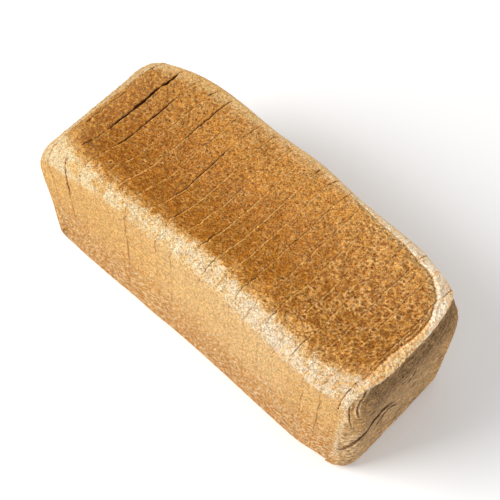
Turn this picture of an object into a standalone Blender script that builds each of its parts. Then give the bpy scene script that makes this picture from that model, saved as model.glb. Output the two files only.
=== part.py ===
"""Sliced tin loaf: two heels and nineteen slices that still stand together.

The loaf is modelled as one baked body first.  Its length runs along X, its
near long side faces -Y and it stands on Z = 0.  section() gives the outline
of the baked body at any place along the length: a rounded rectangle whose
top has sunk a little behind a raised near shoulder, as a tin loaf does when
it cools.  The knife planes then divide that body into slices, and the fan()
step leans the left end outwards, which opens thin wedge gaps at the top.
"""
import bpy
import bmesh
import math
from mathutils import Vector

MM = 0.001

# ---- driving dimensions, millimetres ---------------------------------------
X_LEFT = -131.5          # left end of the baked body before the lean
X_RIGHT = 126.9          # right end
WIDTH = 112.4            # across the tin
HEIGHT = 108.2           # base to the sunken top
CUTS = 20                # knife cuts, so CUTS + 1 pieces
FIRST_CUT = -113.4       # place of the first cut
LAST_CUT = 112.5         # place of the last cut
GAP = 0.34               # what the knife leaves between two slices
LEAN_LEFT = 20.0         # how far the left end leans out, base to top
TURN_LEFT = 3.6          # and how far its near side is turned out
LEAN_RIGHT = -0.8
LEAN_REACH = 42.0        # the lean dies out over this length
CENTRE_X = 3.92         # moves the middle of the whole box onto X = 0
CENTRE_Y = -1.87

# end rounding: radius of the top, side and bottom edges of each end face
END_L = (43.0, 7.0, 7.0)
END_R = (26.5, 14.2, 7.8)
SAG_L = 4.0              # how far the top drops at each end
SAG_R = 8.1

# section corners
R_BASE = 9.0
R_FAR_TOP = 23.0
R_NEAR_TOP = 13.4

RIM_LEFT = 10.7          # near shoulder above the sunken top, left half
RIM_RIGHT = 5.0          # and right half
RIM_WIDTH = 41.0         # from the near side to where the top is level
RIM_END = 3.1            # low rim above the right end face
HOLLOW = 1.5             # how far the side walls have drawn in
TAPER = 3.3              # each side is this much narrower at the base

SIDE_STEPS = 4
ARC_STEPS = 7
TOP_STEPS = 10


def smooth(a, b, x):
    """0 at a, 1 at b, with flat ends."""
    t = min(1.0, max(0.0, (x - a) / (b - a)))
    return t * t * (3.0 - 2.0 * t)


def cut_x(k):
    """Place of cut k (1..CUTS): an even pitch with the slicer's drift."""
    t = (k - 1) / (CUTS - 1)
    drift = 1.9 * math.sin(math.pi * t) + 0.3 * math.sin(1.9 * k + 0.4)
    return FIRST_CUT + (LAST_CUT - FIRST_CUT) * t + drift


def rounding(depth, radius):
    """How far an edge of this radius draws the wall in, depth from the end."""
    q = min(1.0, max(0.0, (radius - depth) / radius))
    return radius * (1.0 - math.sqrt(max(0.0, 1.0 - q * q)))


def near_rim(x):
    """Height of the near shoulder above the sunken top."""
    h = RIM_LEFT - (RIM_LEFT - RIM_RIGHT) * smooth(-49.0, 49.0, x)
    h -= 2.1 * smooth(85.0, 120.0, x)
    return h * (1.0 - 0.8 * smooth(60.0, 0.0, x - X_LEFT))


def near_wave(x):
    """Bulge of the near side: shallow swells, drawn in at the right end."""
    return (0.9 * math.cos(2.0 * math.pi * (x + 82.0) / 180.0)
            - 4.4 * smooth(85.0, 118.0, x))


def far_wave(x):
    """The far side bows out in the middle of the tin."""
    return (6.3 * math.cos(math.pi * (x + 12.0) / 258.0) - 1.4
            + 0.8 * math.cos(2.0 * math.pi * (x - 5.0) / 75.0))


def section(x):
    """Outline (y, z) of the baked body at x, counter-clockwise seen from +X."""
    dl, dr = x - X_LEFT, X_RIGHT - x
    draw_top = max(rounding(dl, END_L[0]), rounding(dr, END_R[0]))
    draw_side = max(rounding(dl, END_L[1]), rounding(dr, END_R[1]))
    draw_base = max(rounding(dl, END_L[2]), rounding(dr, END_R[2]))
    near = -WIDTH / 2 - near_wave(x) + draw_side
    far = WIDTH / 2 + far_wave(x) - draw_side
    top = HEIGHT - draw_top
    base = draw_base
    pts = []

    def arc(cy, cz, r, a0, a1, steps):
        for i in range(steps + 1):
            a = math.radians(a0 + (a1 - a0) * i / steps)
            pts.append((cy + r * math.cos(a), cz + r * math.sin(a)))

    def run(y0, z0, y1, z1, steps):
        for i in range(1, steps):
            t = i / steps
            pts.append((y0 + (y1 - y0) * t, z0 + (z1 - z0) * t))

    # start at the near base corner and go along the base to the far side
    arc(near + R_BASE, base + R_BASE, R_BASE, 180, 270, 4)
    run(near + R_BASE, base, far - R_BASE, base, 4)
    arc(far - R_BASE, base + R_BASE, R_BASE, 270, 360, 4)
    run(far, base + R_BASE, far, top - R_FAR_TOP, SIDE_STEPS)
    arc(far - R_FAR_TOP, top - R_FAR_TOP, R_FAR_TOP, 0, 90, ARC_STEPS)
    run(far - R_FAR_TOP, top, near + R_NEAR_TOP, top, TOP_STEPS)
    arc(near + R_NEAR_TOP, top - R_NEAR_TOP, R_NEAR_TOP, 90, 180, ARC_STEPS)
    run(near, top - R_NEAR_TOP, near, base + R_BASE, SIDE_STEPS)

    # raise the near shoulder, draw in the side walls, narrow the base
    half = WIDTH / 2
    rim = near_rim(x)
    end_rise = RIM_END * smooth(16.0, 8.0, dr)
    sag = SAG_L * smooth(45.0, 0.0, dl) + SAG_R * smooth(40.0, 0.0, dr)
    out = []
    for y, z in pts:
        high = smooth(HEIGHT - 46.0, HEIGHT - 8.0, z)
        lift = rim * smooth(-half + RIM_WIDTH, -half + 5.0, y) * high
        lift += end_rise * high * smooth(half, half - 25.0, abs(y))
        lift -= sag * high
        level = min(1.0, max(0.0, z / HEIGHT))
        edge = smooth(half - 16.0, half - 2.0, abs(y))
        hollow = HOLLOW * math.sin(math.pi * level) * edge
        y -= math.copysign(hollow, y)
        y *= 1.0 - TAPER / half * (1.0 - level)
        out.append((y, z + lift))
    return out


def fan(x, y, z):
    """Lean the ends: x grows or shrinks with height near each end."""
    h = z / HEIGHT - 0.5
    left = smooth(X_LEFT + LEAN_REACH, X_LEFT, x)
    right = smooth(X_RIGHT - LEAN_REACH, X_RIGHT, x)
    return (x - (LEAN_LEFT * h + TURN_LEFT * y / WIDTH) * left
            + LEAN_RIGHT * right * h)


# gaps that gape at the top: cut -> (extra width, y of the widest place, reach)
OPEN_GAPS = {1: (0.5, 10.0, 40.0), 2: (1.1, 18.0, 44.0), 3: (1.5, 4.0, 36.0),
             5: (0.5, 34.0, 24.0), 7: (0.9, -6.0, 30.0), 12: (0.3, 20.0, 20.0)}


def half_gap(k, y, z):
    """Half the width of the gap at cut k, wider high up where it gapes."""
    extra = 0.0
    if k in OPEN_GAPS:
        w, mid, reach = OPEN_GAPS[k]
        extra = (w * smooth(HEIGHT - 60.0, HEIGHT, z)
                 * smooth(reach, 0.0, abs(y - mid)))
    return 0.5 * (GAP + extra)


def slice_shift(i):
    """Small sideways slip and height difference of piece i."""
    slip = 0.35 * math.sin(2.3 * i + 0.6) + 0.25 * math.sin(5.1 * i)
    if i == CUTS:
        slip -= 1.6
    grow = 1.0 + 0.003 * math.sin(3.7 * i + 1.1)
    return slip, grow


def ring(x, i, swell=0.0, k=None, sign=0.0, draw=0.0):
    """World points of one ring of piece i at x.

    k and sign pull the ring back from cut k by half the gap; swell pushes the
    crust out between two cuts; draw shrinks the ring towards its middle.
    """
    slip, grow = slice_shift(i)
    pts = []
    for y, z in section(x):
        px = x
        if k is not None:
            px += sign * half_gap(k, y, z)
        fx = fan(px, y, z)
        cy, cz = 0.0, HEIGHT * 0.5
        d = math.hypot(y - cy, z - cz)
        s = 1.0 + (swell - draw) / d
        yy = cy + (y - cy) * s + slip
        zz = cz + (z - cz) * s if z > 1e-6 else 0.0
        zz = max(0.0, zz) * grow
        pts.append(Vector(((fx + CENTRE_X) * MM, (yy + CENTRE_Y) * MM,
                           zz * MM)))
    return pts


def loft(name, rings, cap_a, cap_b, material):
    """Skin the rings into one closed body; a cap is a list of inner rings."""
    middle = sum((p.x for r in rings for p in r)) / sum(len(r) for r in rings)
    origin = Vector((middle, 0.0, 0.0))
    bm = bmesh.new()
    loops = [[bm.verts.new(p - origin) for p in r] for r in rings]
    count = len(loops[0])
    for a, b in zip(loops, loops[1:]):
        for j in range(count):
            n = (j + 1) % count
            bm.faces.new((a[j], a[n], b[n], b[j]))

    def close(loop, inner, flip):
        last = loop
        for pts in inner:
            new = [bm.verts.new(p - origin) for p in pts]
            for j in range(count):
                n = (j + 1) % count
                quad = (last[j], new[j], new[n], last[n])
                bm.faces.new(quad[::-1] if flip else quad)
            last = new
        face = bm.faces.new(last if flip else last[::-1])
        bmesh.ops.poke(bm, faces=[face])

    close(loops[0], cap_a, False)
    close(loops[-1], cap_b, True)
    bmesh.ops.recalc_face_normals(bm, faces=bm.faces[:])
    mesh = bpy.data.meshes.new(name)
    bm.to_mesh(mesh)
    bm.free()
    mesh.shade_smooth()
    mesh.set_sharp_from_angle(angle=math.radians(50.0))
    mesh.materials.append(material)
    obj = bpy.data.objects.new(name, mesh)
    obj.location = origin
    bpy.context.scene.collection.objects.link(obj)
    return obj


def bread_material(name, tone):
    """Golden wholemeal crust; tone varies a little from piece to piece."""
    mat = bpy.data.materials.new(name)
    mat.use_nodes = True
    node = mat.node_tree.nodes["Principled BSDF"]
    node.inputs["Base Color"].default_value = (
        0.50 * tone, 0.27 * tone, 0.085 * tone, 1.0)
    node.inputs["Roughness"].default_value = 0.78
    node.inputs["Metallic"].default_value = 0.0
    return mat


def end_rings(x_end, direction, i, hollow):
    """Inner rings of an end face, drawn towards its hollow middle."""
    base = ring(x_end, i)
    cy = sum(p.y for p in base) / len(base)
    cz = sum(p.z for p in base) / len(base)
    out = []
    for s, depth in ((0.86, 0.45), (0.6, 0.9), (0.3, 1.0)):
        out.append([Vector((p.x - direction * hollow * depth * MM,
                            cy + (p.y - cy) * s, cz + (p.z - cz) * s))
                    for p in base])
    return out


def heel_stations(x_end, x_cut, direction):
    """Places along a heel, close together where its edges turn."""
    span = abs(x_cut - x_end)
    steps = [0.0, 0.02, 0.07, 0.15, 0.27, 0.42, 0.62, 0.8]
    return [x_end - direction * span * s for s in steps]


def build():
    root = bpy.data.objects.new("loaf_origin", None)
    bpy.context.scene.collection.objects.link(root)
    pieces = []

    # left heel
    x1 = cut_x(1)
    rings = [ring(x, 0) for x in heel_stations(X_LEFT, x1, -1.0)]
    rings.append(ring(x1, 0, k=1, sign=-1.0))
    pieces.append(loft("heel_left", rings,
                       end_rings(X_LEFT, -1.0, 0, 1.2), [],
                       bread_material("crust_heel_left", 1.0)))

    # slices between the cuts
    for i in range(1, CUTS):
        a, b = cut_x(i), cut_x(i + 1)
        rings = [ring(a, i, k=i, sign=1.0),
                 ring(0.5 * (a + b), i, swell=0.25),
                 ring(b, i, k=i + 1, sign=-1.0)]
        tone = 1.0 + 0.04 * math.sin(2.9 * i)
        pieces.append(loft("slice_%02d" % i, rings, [], [],
                           bread_material("crust_slice_%02d" % i, tone)))

    # right heel
    x20 = cut_x(CUTS)
    rings = [ring(x20, CUTS, k=CUTS, sign=1.0)]
    rings += [ring(x, CUTS)
              for x in reversed(heel_stations(X_RIGHT, x20, 1.0))]
    pieces.append(loft("heel_right", rings, [],
                       end_rings(X_RIGHT, 1.0, CUTS, 2.6),
                       bread_material("crust_heel_right", 0.95)))

    for obj in pieces:
        obj.parent = root


for old in list(bpy.data.objects):
    bpy.data.objects.remove(old, do_unlink=True)
build()
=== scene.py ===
"""Looks of the sliced tin loaf.

The crust is rebuilt as a fine mesh on the same body as the solids: section()
gives the outline at any place along the loaf, and every slice is a strip of
that surface between two knife cuts.  Relief and colour are worked out once for
the whole crust, unrolled flat: x runs along the loaf and s runs round it, up
the near side from its base, over the top and down the far side.
"""
import math
import numpy as np
import bpy
from mathutils import Matrix, Vector


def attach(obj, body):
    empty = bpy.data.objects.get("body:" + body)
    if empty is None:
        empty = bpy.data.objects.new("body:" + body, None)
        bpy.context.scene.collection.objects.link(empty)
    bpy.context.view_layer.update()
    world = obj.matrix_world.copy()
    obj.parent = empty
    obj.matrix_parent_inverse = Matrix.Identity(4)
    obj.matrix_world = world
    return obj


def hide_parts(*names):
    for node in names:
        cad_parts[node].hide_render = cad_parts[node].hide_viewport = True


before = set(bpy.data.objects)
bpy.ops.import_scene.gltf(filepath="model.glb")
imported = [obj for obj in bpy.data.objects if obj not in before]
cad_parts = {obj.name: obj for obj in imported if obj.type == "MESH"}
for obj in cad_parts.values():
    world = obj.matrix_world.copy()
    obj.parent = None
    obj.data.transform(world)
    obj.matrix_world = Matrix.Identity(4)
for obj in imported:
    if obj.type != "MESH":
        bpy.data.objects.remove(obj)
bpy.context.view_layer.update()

MM = 0.001

# ---- the baked body, as in the solids (millimetres) -------------------------
X_LEFT, X_RIGHT = -131.5, 126.9
WIDTH, HEIGHT = 112.4, 108.2
HALF = WIDTH / 2
CUTS = 20
FIRST_CUT, LAST_CUT = -113.4, 112.5
LEAN_LEFT, TURN_LEFT, LEAN_RIGHT, LEAN_REACH = 20.0, 3.6, -0.8, 42.0
CENTRE_X, CENTRE_Y = 3.92, -1.87
END_L, END_R = (43.0, 7.0, 7.0), (26.5, 14.2, 7.8)
SAG_L, SAG_R = 4.0, 8.1
R_BASE, R_FAR_TOP, R_NEAR_TOP = 9.0, 23.0, 13.4
RIM_LEFT, RIM_RIGHT, RIM_WIDTH, RIM_END = 10.7, 5.0, 41.0, 3.1
HOLLOW, TAPER = 1.5, 3.3

# rows of vertices round the section, part by part from the near base corner
NEAR_ROWS, NEAR_ARC, TOP_ROWS, FAR_ARC = 156, 46, 168, 60
FAR_ROWS, FAR_BASE, BASE_ROWS, NEAR_BASE = 76, 10, 44, 16
ROWS = (NEAR_ROWS + NEAR_ARC + TOP_ROWS + FAR_ARC + FAR_ROWS + FAR_BASE
        + BASE_ROWS + NEAR_BASE)


def smooth(a, b, x):
    t = np.clip((x - a) / (b - a), 0.0, 1.0)
    return t * t * (3.0 - 2.0 * t)


def mix(a, b, t):
    return a + (b - a) * t


def cut_x(k):
    t = (k - 1) / (CUTS - 1)
    solid = (FIRST_CUT + (LAST_CUT - FIRST_CUT) * t
             + 1.9 * math.sin(math.pi * t) + 0.3 * math.sin(1.9 * k + 0.4))
    # the slicer's drift: the first slice is the thickest, the next few lie on
    return (solid + 1.4 * float(smooth(0.0, 0.05, t) * smooth(0.62, 0.42, t))
            - (1.7 if k == 1 else 0.0))


def rounding(depth, radius):
    q = np.clip((radius - depth) / radius, 0.0, 1.0)
    return radius * (1.0 - np.sqrt(np.maximum(0.0, 1.0 - q * q)))


def near_rim(x):
    h = RIM_LEFT - (RIM_LEFT - RIM_RIGHT) * smooth(-49.0, 49.0, x)
    h = h - 2.1 * smooth(85.0, 120.0, x)
    return h * (1.0 - 0.8 * smooth(60.0, 0.0, x - X_LEFT))


def near_wave(x):
    return (0.9 * np.cos(2.0 * np.pi * (x + 82.0) / 180.0)
            - 4.4 * smooth(85.0, 118.0, x))


def far_wave(x):
    return (6.3 * np.cos(np.pi * (x + 12.0) / 258.0) - 1.4
            + 0.8 * np.cos(2.0 * np.pi * (x - 5.0) / 75.0))


def section(x):
    """Outline (y, z) at every x: two arrays, one row of ROWS points for each x."""
    x = np.asarray(x, float)[:, None]
    dl, dr = x - X_LEFT, X_RIGHT - x
    draw_top = np.maximum(rounding(dl, END_L[0]), rounding(dr, END_R[0]))
    draw_side = np.maximum(rounding(dl, END_L[1]), rounding(dr, END_R[1]))
    draw_base = np.maximum(rounding(dl, END_L[2]), rounding(dr, END_R[2]))
    near = -HALF - near_wave(x) + draw_side
    far = HALF + far_wave(x) - draw_side
    top, base = HEIGHT - draw_top, draw_base
    ys, zs = [], []

    def run(y0, z0, y1, z1, n):
        t = np.arange(n)[None, :] / n
        ys.append(y0 + (y1 - y0) * t)
        zs.append(z0 + (z1 - z0) * t)

    def arc(cy, cz, r, a0, a1, n):
        a = np.radians(a0 + (a1 - a0) * np.arange(n)[None, :] / n)
        ys.append(cy + r * np.cos(a))
        zs.append(cz + r * np.sin(a))

    run(near, base + R_BASE, near, top - R_NEAR_TOP, NEAR_ROWS)
    arc(near + R_NEAR_TOP, top - R_NEAR_TOP, R_NEAR_TOP, 180, 90, NEAR_ARC)
    run(near + R_NEAR_TOP, top, far - R_FAR_TOP, top, TOP_ROWS)
    arc(far - R_FAR_TOP, top - R_FAR_TOP, R_FAR_TOP, 90, 0, FAR_ARC)
    run(far, top - R_FAR_TOP, far, base + R_BASE, FAR_ROWS)
    arc(far - R_BASE, base + R_BASE, R_BASE, 0, -90, FAR_BASE)
    run(far - R_BASE, base, near + R_BASE, base, BASE_ROWS)
    arc(near + R_BASE, base + R_BASE, R_BASE, 270, 180, NEAR_BASE)
    y, z = np.concatenate(ys, 1), np.concatenate(zs, 1)

    high = smooth(HEIGHT - 46.0, HEIGHT - 8.0, z)
    lift = near_rim(x) * smooth(-HALF + RIM_WIDTH, -HALF + 5.0, y) * high
    lift += (RIM_END * smooth(16.0, 8.0, dr) * high
             * smooth(HALF, HALF - 25.0, np.abs(y)))
    lift -= high * (SAG_L * smooth(45.0, 0.0, dl) + SAG_R * smooth(40.0, 0.0, dr))
    level = np.clip(z / HEIGHT, 0.0, 1.0)
    hollow = (HOLLOW * np.sin(np.pi * level)
              * smooth(HALF - 16.0, HALF - 2.0, np.abs(y)))
    y = y - np.sign(y) * hollow
    y = y * (1.0 - TAPER / HALF * (1.0 - level))
    return y, z + lift


def unrolled(y, z):
    """Distance s round the outline; from the middle of the base on it is
    counted back from the near base corner, so it is negative there."""
    step = np.hypot(np.roll(y, -1, 1) - y, np.roll(z, -1, 1) - z)
    s = np.concatenate([np.zeros((len(y), 1)), np.cumsum(step, 1)[:, :-1]], 1)
    total = step.sum(1, keepdims=True)
    back = np.arange(ROWS) >= ROWS - NEAR_BASE - BASE_ROWS // 2
    return np.where(back[None, :], s - total, s)


def fan(x, y, z):
    h = z / HEIGHT - 0.5
    left = smooth(X_LEFT + LEAN_REACH, X_LEFT, x)
    right = smooth(X_RIGHT - LEAN_REACH, X_RIGHT, x)
    return (x - (LEAN_LEFT * h + TURN_LEFT * y / WIDTH) * left
            + LEAN_RIGHT * right * h)


def placed(x, y, z, i):
    """Points of piece i, in metres, from body coordinates."""
    slip = 0.15 * (0.35 * math.sin(2.3 * i + 0.6) + 0.25 * math.sin(5.1 * i))
    if i == CUTS:
        slip -= 1.0
    grow = 1.0 + 0.001 * math.sin(3.7 * i + 1.1)
    fx = fan(x, y, z)
    return np.stack([fx + CENTRE_X, y + slip + CENTRE_Y,
                     np.maximum(0.0, z) * grow], -1) * MM


# ---- the unrolled crust: relief and colour ----------------------------------
CELL = 0.25
U0, U1, S0, S1 = -136.0, 132.0, -75.0, 375.0
NU, NS = int((U1 - U0) / CELL), int((S1 - S0) / CELL)
FU = np.fft.rfftfreq(NU, CELL)[None, :]
FS = np.fft.fftfreq(NS, CELL)[:, None]


def band(low, high, seed, along=1.0, round_=1.0):
    """Noise with bumps between low and high mm long, mean 0, spread 1."""
    white = np.random.default_rng(seed).standard_normal((NS, NU))
    f = np.hypot(FU * along, FS * round_)
    keep = np.exp(-(f * low) ** 2 * 1.4) * (1.0 - np.exp(-(f * high) ** 2 * 1.4))
    out = np.fft.irfft2(np.fft.rfft2(white) * keep, s=(NS, NU))
    return (out / out.std()).astype(np.float32)


def stamped(count, seed, kernel, size=(1.0, 1.0), where=None):
    """Sum of count small marks; kernel(r2) gives one mark's height from the
    squared distance in mm, where is the chance map for a mark."""
    rng = np.random.default_rng(seed)
    u, s = rng.random(count) * (NU - 2), rng.random(count) * (NS - 2)
    h = rng.random(count) * (size[1] - size[0]) + size[0]
    iu, is_ = u.astype(int), s.astype(int)
    if where is not None:
        h = np.where(rng.random(count) < where[is_, iu], h, 0.0)
    grid = np.zeros((NS, NU))
    fu, fs = u - iu, s - is_
    for du in (0, 1):
        for ds in (0, 1):
            w = (fu if du else 1 - fu) * (fs if ds else 1 - fs)
            np.add.at(grid, (is_ + ds, iu + du), h * w)
    ku = np.minimum(np.arange(NU), NU - np.arange(NU))[None, :] * CELL
    ks = np.minimum(np.arange(NS), NS - np.arange(NS))[:, None] * CELL
    k = kernel(ku ** 2 + ks ** 2)
    return np.fft.irfft2(np.fft.rfft2(grid) * np.fft.rfft2(k),
                         s=(NS, NU)).astype(np.float32)


def dot(radius):
    return lambda r2: np.exp(-r2 / radius ** 2)


def ringed(radius):
    """A pit with a raised rim."""
    return lambda r2: (np.exp(-r2 / radius ** 2) * (1.0 - r2 / radius ** 2 * 0.9))


U = (U0 + (np.arange(NU) + 0.5) * CELL)[None, :].astype(np.float32)
S = (S0 + (np.arange(NS) + 0.5) * CELL)[:, None].astype(np.float32)


def at(maps, u, s):
    """Value of a map, or of each of a stack of maps, at points (u, s)."""
    x = np.clip((u - U0) / CELL - 0.5, 0, NU - 1.001)
    y = np.clip((s - S0) / CELL - 0.5, 0, NS - 1.001)
    i, j = x.astype(int), y.astype(int)
    a, b = x - i, y - j
    if maps.ndim == 3:
        a, b = a[..., None], b[..., None]
    return ((maps[j, i] * (1 - a) + maps[j, i + 1] * a) * (1 - b)
            + (maps[j + 1, i] * (1 - a) + maps[j + 1, i + 1] * a) * b)


def rgb(*c):
    return np.array(c, np.float32) / 255.0


def profile(x, *pairs):
    """Smooth curve through (place, value) pairs."""
    px, pv = [p[0] for p in pairs], [p[1] for p in pairs]
    return np.interp(x, px, pv).astype(np.float32)


# noises, from broad to fine
broad = band(30, 90, 11)
patch = band(9, 26, 12)
clump = band(4, 10, 13)
lump = band(2.4, 5.5, 14)
grain = band(1.1, 2.6, 15)
fine = band(0.55, 1.3, 16)
ragged = band(1.2, 7.0, 18)
drawn = band(0.7, 2.2, 19, along=1.8)        # drawn out along the loaf

# where the pale shoulders start and end
band_lo = profile(U, (-131, 78), (-115, 82), (-100, 86), (-80, 94), (-50, 99),
                  (0, 98), (30, 96), (70, 92), (100, 88), (120, 84))
band_hi = profile(U, (-131, 100), (-115, 103), (-85, 109), (-50, 110), (-30, 111),
                  (0, 112), (30, 109), (60, 107), (100, 105), (120, 104))
far_lo = profile(U, (-131, 160), (-120, 173), (-110, 184), (-100, 193), (-85, 202), (-60, 207.5),
                 (-30, 209), (0, 207.5), (30, 203.5), (60, 201), (78, 199.5), (90, 197),
                 (97, 194.5), (102, 190), (107, 182.5), (112, 174), (124, 150))
far_hi = far_lo + profile(U, (-131, 13), (-60, 8), (0, 7), (60, 8), (95, 12), (124, 18))
slant = np.hypot(1.0, np.gradient(far_lo, CELL, axis=1))
from_rim = (S - far_lo) / slant              # mm outwards from the far rim's inner edge
rim_part = smooth(10.0, 45.0, U)             # where that edge is a step
cut_places = np.array([cut_x(k) for k in range(1, CUTS + 1)])
from_cut = np.abs(U - cut_places[np.abs(U.T - cut_places).argmin(1)][None, :])
tongue = 3.0 * np.exp(-(from_cut / 1.1) ** 2)  # flour dragged over the edge by the knife

edge_n = 0.8 * ragged + 0.4 * lump + 0.7 * clump
in_band = (smooth(band_lo - 3.5, band_lo + 3.5, S + edge_n)
           * smooth(band_hi + 4.5, band_hi - 3.0, S + 1.2 * edge_n))
reach_in = mix(3.0, 0.5, rim_part)
is_top = smooth(band_hi - 4.5, band_hi + 6.0, S + 1.2 * edge_n - tongue) * smooth(
    reach_in, -reach_in, from_rim + mix(0.8, 0.12, rim_part) * edge_n)
in_far = (smooth(-reach_in, reach_in, from_rim + mix(0.8, 0.12, rim_part) * edge_n)
          * smooth(far_hi + 2.0, far_hi - 2.0, S + 0.8 * edge_n))
on_side = smooth(-30, -6, S)
low_side = smooth(66.0, 26.0, S + 3.0 * patch + 2.0 * clump) * on_side
side = (1 - smooth(band_lo - 3.5, band_lo + 3.5, S + edge_n)) * on_side
far_side = smooth(far_hi - 2.0, far_hi + 6.0, S + edge_n)


def tones(x, *stops):
    """Colour along x through (place, red, green, blue) stops."""
    px = [st[0] for st in stops]
    return np.stack([np.interp(x, px, [st[c] / 255.0 for st in stops])
                     for c in (1, 2, 3)], -1).astype(np.float32)


def toward(col, tone, amount):
    a = np.clip(amount, 0.0, 1.0)[..., None]
    col += a * (np.asarray(tone, np.float32) - col)


# colour, one layer for each kind of crust: the sides' tan, the browned top and
# the pale shoulders
def layer(tone):
    out = np.empty((NS, NU, 3), np.float32)
    out[:] = tone
    return out


far_low = smooth(258.0, 292.0, S + 3.0 * patch + 2.0 * clump) * smooth(345, 325, S)
low = np.maximum(low_side, far_low)
tan_crust = layer(tones(S, (-30, 196, 140, 80), (4, 206, 133, 52), (14, 213, 139, 56), (28, 219, 151, 66),
                        (42, 230, 169, 87), (57, 233, 181, 105), (72, 232, 181, 106),
                        (90, 234, 184, 114), (215, 222, 178, 118), (262, 216, 170, 108),
                        (296, 206, 154, 94), (322, 200, 148, 92)))
toward(tan_crust, rgb(250, 217, 160), 0.5 * smooth(0.2, 1.5, lump * 0.5 + grain * 0.7 + clump * 0.3))
toward(tan_crust, rgb(222, 160, 78), 0.5 * smooth(0.2, 1.5, -clump * 0.4 - lump * 0.5 - grain * 0.5))
toward(tan_crust, rgb(250, 220, 164), low * 0.75 * smooth(0.3, 1.3, drawn * 0.9 + lump * 0.3))
toward(tan_crust, rgb(204, 132, 58), low * 0.9 * smooth(0.4, 1.6, -drawn * 0.8 - lump * 0.4))
brown_crust = layer(tones(S + 2.0 * clump + 2.5 * patch, (106, 234, 178, 104), (112, 216, 154, 76),
                          (118, 184, 116, 33), (125, 168, 101, 20), (135, 176, 108, 26), (147, 184, 116, 36),
                          (162, 194, 125, 48), (178, 211, 142, 59), (190, 219, 152, 68), (197, 218, 152, 72),
                          (206, 224, 172, 106)))
toward(brown_crust, rgb(230, 168, 92), 0.4 * smooth(0.1, 1.7, clump * 0.4 + lump * 0.5 + grain * 0.3))
toward(brown_crust, rgb(146, 84, 32), 0.4 * smooth(0.1, 1.7, -lump * 0.5 - clump * 0.4 - grain * 0.3))
toward(brown_crust, rgb(224, 150, 58), 0.42 * smooth(-98, -108, U + 1.5 * clump) * smooth(120, 150, S))
toward(brown_crust, rgb(240, 166, 62), 0.5 * smooth(-111, -118, U + 1.5 * clump))
toward(brown_crust, rgb(236, 172, 88), 0.5 * smooth(-65, -85, U) * smooth(119, 112, S))
ridge = 1.0 - np.abs(band(5.5, 12, 21, along=0.7, round_=1.3)) * 1.1
wrinkled = np.maximum(smooth(30, 64, U + 6 * patch) * smooth(126, 117, U),
                      0.6 * smooth(-50, -80, U + 6 * patch) * smooth(150, 175, S))
# on the wrinkles: painted highlight on the ridge tops and painted shade in the hollows between them, over the relief
toward(brown_crust, rgb(236, 184, 108), 0.55 * wrinkled * smooth(0.5, 0.95, ridge + 0.12 * lump))
toward(brown_crust, rgb(134, 76, 28), 0.40 * wrinkled * smooth(0.3, -0.4, ridge + 0.2 * lump))
# painted shade: greyer crust just inside the far rim, where the top rises to it
toward(brown_crust, rgb(184, 154, 102), 0.6 * rim_part * smooth(-6.0, -0.5, from_rim + 1.0 * clump))
cream_crust = layer(rgb(246, 215, 166))
toward(cream_crust, rgb(236, 182, 102), 0.7 * smooth(0.1, 1.3, patch * 0.6 + clump * 0.6))
toward(cream_crust, rgb(250, 231, 198), 0.6 * np.clip(smooth(0.0, 1.3, -patch * 0.6 - clump * 0.6)
                                                     + smooth(-92, -104, U), 0, 1))
toward(cream_crust, rgb(254, 242, 220), 0.5 * smooth(0.3, 1.6, lump * 0.5 + grain * 0.7))
toward(cream_crust, rgb(232, 182, 112), 0.6 * smooth(0.7, 1.6, ragged * 0.5 + grain * 0.6))
far_cream = layer(tones(U, (-112, 246, 208, 146), (-96, 240, 188, 110), (-60, 236, 192, 122), (10, 222, 184, 124), (50, 218, 192, 152),
                        (90, 232, 213, 181)))
toward(far_cream, rgb(244, 228, 200), 0.7 * smooth(0.1, 1.2, ragged * 0.4 + drawn * 0.7))
toward(far_cream, rgb(206, 142, 76), 0.7 * smooth(0.7, 1.5, ragged * 0.5 + grain * 0.7))

# bran specks, pale grains, orange specks, and pores with raised rims
bran = stamped(15000, 31, dot(0.5), (0.4, 1.0), 0.15 + 0.85 * is_top)
pale = stamped(11000, 32, dot(0.45), (0.4, 1.0), 0.3 + 0.7 * is_top)
tan = stamped(20000, 34, dot(0.55), (0.3, 1.0))
pores = stamped(8000, 33, ringed(0.95), (0.35, 1.0), is_top * (0.2 + 0.8 * wrinkled))
toward(tan_crust, rgb(206, 136, 62), 0.45 * np.clip(tan, 0, 1))
toward(tan_crust, rgb(118, 70, 30), (0.08 + 0.2 * low) * bran)
toward(tan_crust, rgb(250, 226, 180), (0.2 + 0.3 * low) * pale)
toward(cream_crust, rgb(216, 150, 78), 0.8 * np.clip(tan, 0, 1))
toward(far_cream, rgb(206, 142, 76), 0.8 * np.clip(tan, 0, 1))
toward(brown_crust, rgb(100, 56, 24), 0.65 * bran)
toward(brown_crust, rgb(240, 200, 144), 0.7 * pale)
# larger specks on the leaning end's top
leaning = is_top * smooth(-88, -102, U)
toward(brown_crust, rgb(126, 70, 28), 0.6 * np.clip(stamped(20000, 35, dot(0.7), (0.4, 1.0), leaning), 0, 1))
toward(brown_crust, rgb(250, 190, 92), 0.75 * np.clip(stamped(22000, 36, dot(0.65), (0.4, 1.0), leaning), 0, 1))
# painted shade: dark brown inside the pores' pits
toward(brown_crust, rgb(122, 68, 28), 0.8 * np.clip(pores, 0, 1))
toward(brown_crust, rgb(240, 192, 122), 4.0 * np.clip(-pores, 0, 1))
# painted shade: greyer crust on the far side just below the rim, towards the right end
toward(tan_crust, rgb(186, 146, 94), 0.5 * smooth(0.0, 3.0, S - far_hi) * smooth(238, 218, S) * rim_part)
tan_crust *= 1.0 - low[..., None] * np.array([0.008, 0.03, 0.10], np.float32)
middle = smooth(-42, -8, U) * smooth(90, 62, U)      # paler in the middle of the near side
toward(tan_crust, rgb(250, 218, 164), 0.26 * middle * smooth(26, 44, S) * smooth(140, 100, S))
toward(cream_crust, rgb(250, 232, 204), 0.35 * smooth(18, 40, U) * smooth(92, 70, U) * smooth(112, 104, S))

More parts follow.
